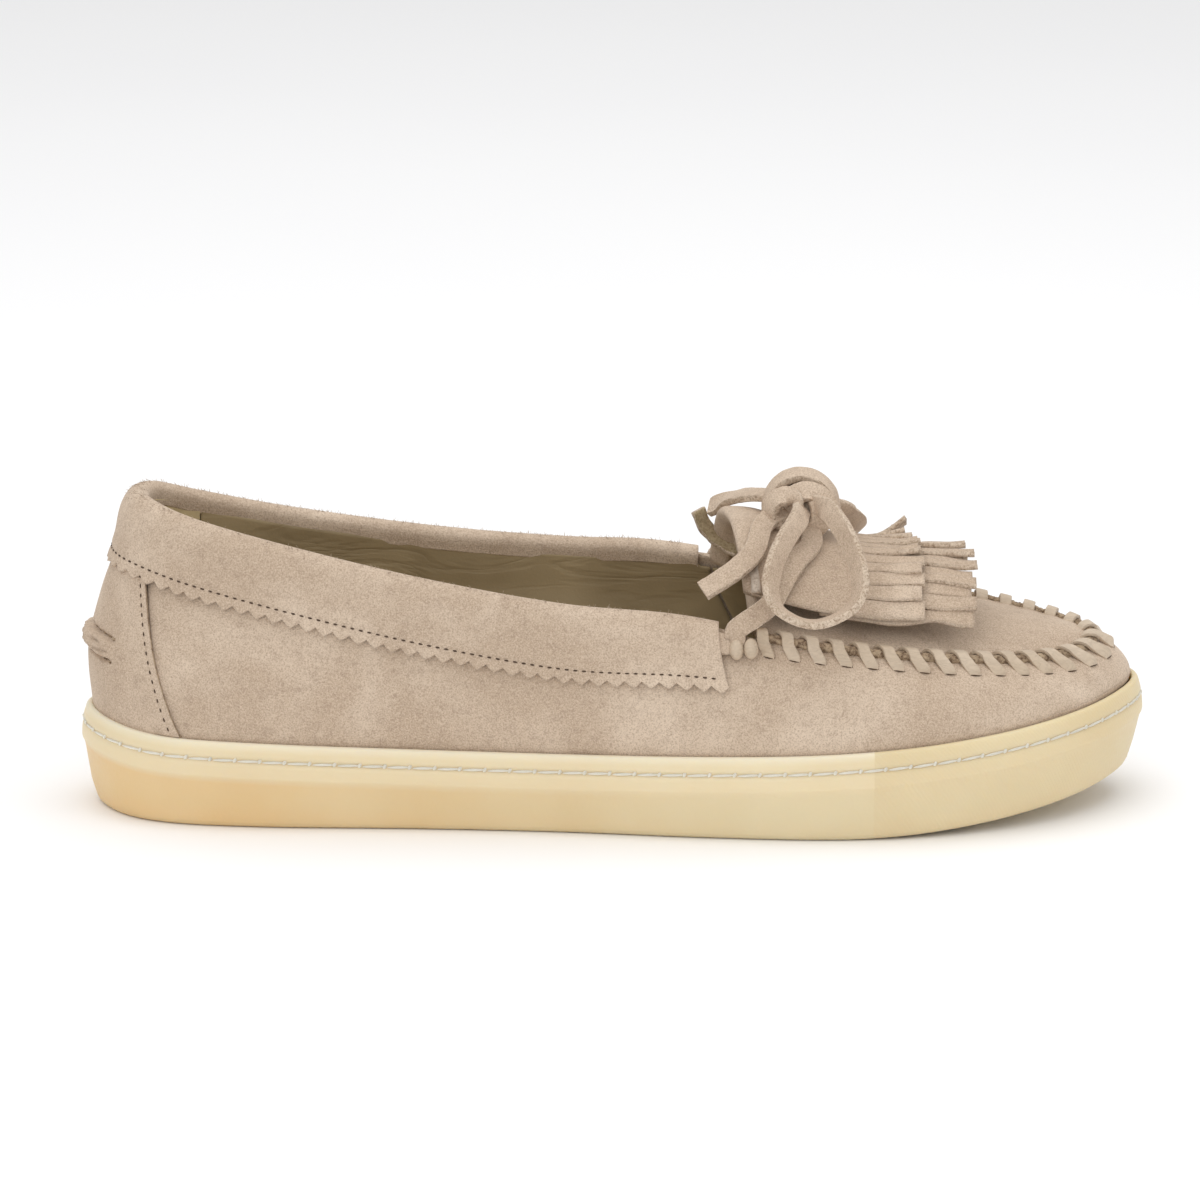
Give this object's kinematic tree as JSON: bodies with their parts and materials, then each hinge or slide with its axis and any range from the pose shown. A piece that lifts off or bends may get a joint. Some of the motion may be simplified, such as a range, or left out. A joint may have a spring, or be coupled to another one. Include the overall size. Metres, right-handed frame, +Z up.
{
  "type": "moccasin",
  "caption": "Right-foot suede moccasin on a rubber cup sole, with a whip-stitched apron, a pinked collar and a fringed kiltie under a lace bow.",
  "frame": {"origin": "on the ground, under the middle of the sole's length and width", "axes": "+X to the toe, +Y to the inner (medial) side, +Z up"},
  "size_m": [0.2722, 0.09, 0.0851],
  "materials": {
    "rubber": "smooth, slightly translucent gum rubber",
    "filler": "matte foam",
    "board": "matte fibre board",
    "foam": "matte foam",
    "lining": "smooth lining leather",
    "stiffener": "matte stiffened cloth",
    "suede": "napped suede",
    "thong": "smooth leather",
    "sole_thread": "waxed thread",
    "thread": "matte thread"
  },
  "bodies": {
    "shoe": {"outsole_cup": "rubber", "cup_filler": "filler", "insole_board": "board", "footbed_foam": "foam", "sock_liner": "lining", "sole_stitching": "sole_thread", "heel_piece": "suede", "moccasin_wall": "suede", "heel_lining": "lining", "outer_quarter_lining": "lining", "inner_quarter_lining": "lining", "heel_counter": "stiffener", "toe_puff": "stiffener", "apron": "suede", "vamp_lining": "lining", "seam_welt": "suede", "whip_thong": "thong", "collar": "suede", "collar_stitching": "thread", "outer_heel_stitching": "thread", "inner_heel_stitching": "thread", "heel_tuck": "suede", "kiltie": "suede", "bow_knot": "suede", "lace": "suede", "outer_thong_knot": "thong", "inner_thong_knot": "thong"},
    "fringe": {"upper_fringe": "suede", "lower_fringe": "suede"},
    "outer_loop_body": {"outer_loop": "suede"},
    "inner_loop_body": {"inner_loop": "suede"},
    "outer_end_body": {"outer_lace_end": "suede"},
    "inner_end_body": {"inner_lace_end": "suede"}
  },
  "joints": [
    {"name": "fringe_lift", "type": "hinge", "parent": "shoe", "child": "fringe", "pos_m": [0.058, 0.001, 0.0686], "axis": [0, -1, 0], "range_deg": [0, 30]},
    {"name": "outer_loop_lift", "type": "hinge", "parent": "shoe", "child": "outer_loop_body", "pos_m": [0.0482, 0, 0.0785], "axis": [-1, 0, 0], "range_deg": [0, 50]},
    {"name": "inner_loop_lift", "type": "hinge", "parent": "shoe", "child": "inner_loop_body", "pos_m": [0.0482, 0, 0.0785], "axis": [1, 0, 0], "range_deg": [0, 50]},
    {"name": "outer_end_lift", "type": "hinge", "parent": "shoe", "child": "outer_end_body", "pos_m": [0.0482, 0, 0.0785], "axis": [-0.78, 0.6258, 0], "range_deg": [0, 45]},
    {"name": "inner_end_lift", "type": "hinge", "parent": "shoe", "child": "inner_end_body", "pos_m": [0.0482, 0, 0.0785], "axis": [0.61, 0.7924, 0], "range_deg": [0, 45]}
  ]
}
